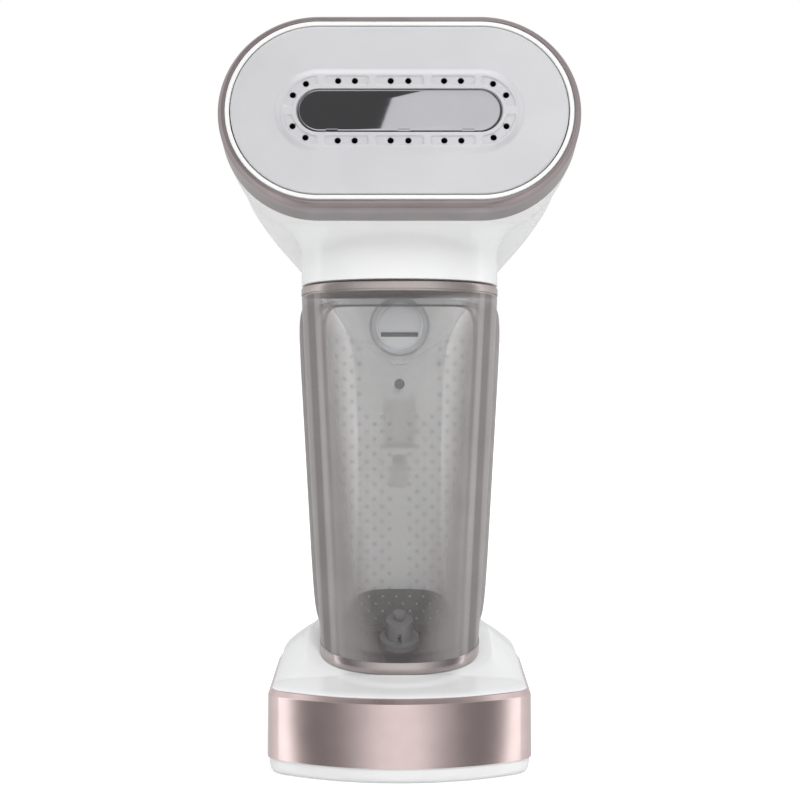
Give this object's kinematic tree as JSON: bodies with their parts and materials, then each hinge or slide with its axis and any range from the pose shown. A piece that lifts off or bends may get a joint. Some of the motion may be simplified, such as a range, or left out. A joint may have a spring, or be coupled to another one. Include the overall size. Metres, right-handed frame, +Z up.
{
  "type": "handheld garment steamer",
  "caption": "Upright handheld garment steamer: wide tilted steam plate, clip-in smoked water tank, loop grip with trigger, weighted stand-up base.",
  "frame": {"origin": "centre of the footprint, on the surface that the feet stand on", "axes": "+X to the user's right when facing the steam plate's side, -Y the way the steam plate faces, +Z up"},
  "size_m": [0.1404, 0.1322, 0.296],
  "materials": {
    "body_white": "satin moulded white",
    "rose_band": "satin metallic rose",
    "bezel_rose": "satin metallic rose-grey",
    "tank_smoke": "frosted translucent smoke grey",
    "plate_silver": "satin light grey coating",
    "inlay_mirror": "polished mirror grey",
    "cast_alloy": "as cast",
    "steel": "zinc plated",
    "element_sheath": "heat-darkened sheath",
    "brass": "bare",
    "silicone": "translucent silicone",
    "black_rubber": "matte",
    "stopper_grey": "matte soft grey",
    "inner_grey": "moulded, unpainted",
    "inner_dark": "moulded, heat resistant",
    "board_green": "solder mask",
    "wire_red": "insulation",
    "lens_blue": "clear tinted lens"
  },
  "bodies": {
    "body": {"soleplate": "plate_silver", "soleplate_inlay": "inlay_mirror", "soleplate_trim": "body_white", "head_bezel": "bezel_rose", "head_top_shell": "body_white", "head_under_shell": "body_white", "neck_shell": "body_white", "grip_front_shell": "body_white", "grip_rear_shell": "body_white", "grip_screws": "steel", "steam_chamber": "cast_alloy", "chamber_gasket": "silicone", "chamber_cover": "cast_alloy", "chamber_screws": "steel", "heating_element": "element_sheath", "thermostat": "inner_dark", "thermal_fuse": "brass", "insulator_frame": "inner_dark", "base_cover": "body_white", "base_band": "rose_band", "base_plate": "body_white", "base_chassis": "inner_grey", "rubber_feet": "black_rubber", "base_screws": "steel", "tank_socket": "inner_grey", "socket_seal": "silicone", "pump": "inner_grey", "pump_mounts": "black_rubber", "suction_hose": "silicone", "delivery_hose": "silicone", "control_board": "board_green", "terminal_block": "inner_grey", "wiring_loom": "wire_red", "cord_gland": "body_white", "trigger_pin": "steel", "trigger_spring": "steel", "trigger_switch": "inner_dark", "button_spring": "steel", "button_switch": "inner_dark", "indicator_lens": "lens_blue", "latch_spring": "steel"},
    "tank": {"tank_front_shell": "tank_smoke", "tank_rear_shell": "tank_smoke", "tank_top_trim": "bezel_rose", "tank_foot_trim": "rose_band", "outlet_valve_body": "inner_grey", "valve_stem": "body_white", "valve_spring": "steel", "stopper_strap": "stopper_grey"},
    "stopper": {"filler_stopper": "stopper_grey"},
    "trigger": {"steam_trigger": "rose_band"},
    "lock": {"trigger_lock": "rose_band"},
    "button": {"power_button": "plate_silver"},
    "latch": {"tank_latch": "body_white"}
  },
  "joints": [
    {"name": "tank_slide", "type": "slide", "parent": "body", "child": "tank", "axis": [0, -1, 0], "range_m": [0, 0.11]},
    {"name": "stopper_hinge", "type": "hinge", "parent": "tank", "child": "stopper", "pos_m": [0, -0.0001, 0.1595], "axis": [-1, 0, 0], "range_deg": [0, 85]},
    {"name": "trigger_pull", "type": "hinge", "parent": "body", "child": "trigger", "pos_m": [0, 0.035, 0.158], "axis": [1, 0, 0], "range_deg": [0, 8], "stiffness_Nm_per_rad": 0.3, "springref_deg": -6.88, "deforming": ["trigger_spring"]},
    {"name": "lock_slide", "type": "slide", "parent": "body", "child": "lock", "axis": [0, 0, 1], "range_m": [0, 0.004]},
    {"name": "power_press", "type": "slide", "parent": "body", "child": "button", "axis": [0, -1, 0], "range_m": [0, 0.0015], "stiffness_N_per_m": 400, "springref_m": -0.001, "deforming": ["button_spring"]},
    {"name": "latch_press", "type": "slide", "parent": "body", "child": "latch", "axis": [0, 0, 1], "range_m": [0, 0.003], "stiffness_N_per_m": 300, "springref_m": -0.002, "deforming": ["latch_spring"]}
  ]
}
